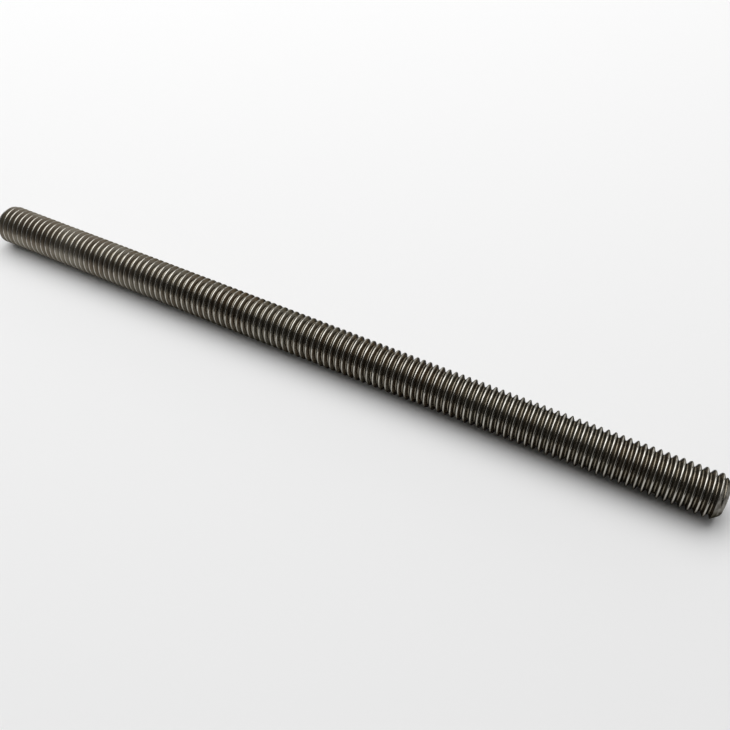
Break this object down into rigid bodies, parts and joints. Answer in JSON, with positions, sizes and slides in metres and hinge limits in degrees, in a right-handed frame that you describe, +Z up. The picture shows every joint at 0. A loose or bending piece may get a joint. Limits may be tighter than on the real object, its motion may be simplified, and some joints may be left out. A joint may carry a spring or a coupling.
{
  "type": "fully threaded rod",
  "caption": "Straight headless steel rod with a right-hand coarse metric thread over its whole length and chamfered ends.",
  "frame": {"origin": "middle of the rod, on its axis", "axes": "+X along the rod's axis, +Z up from the surface that the rod lies on"},
  "size_m": [0.15, 0.0078, 0.0078],
  "materials": {
    "rolled_steel": "plain rolled steel, lightly oiled: polished crests, duller warm grey flanks and dark roots"
  },
  "bodies": {
    "root": {"threaded_rod": "rolled_steel"}
  },
  "joints": []
}
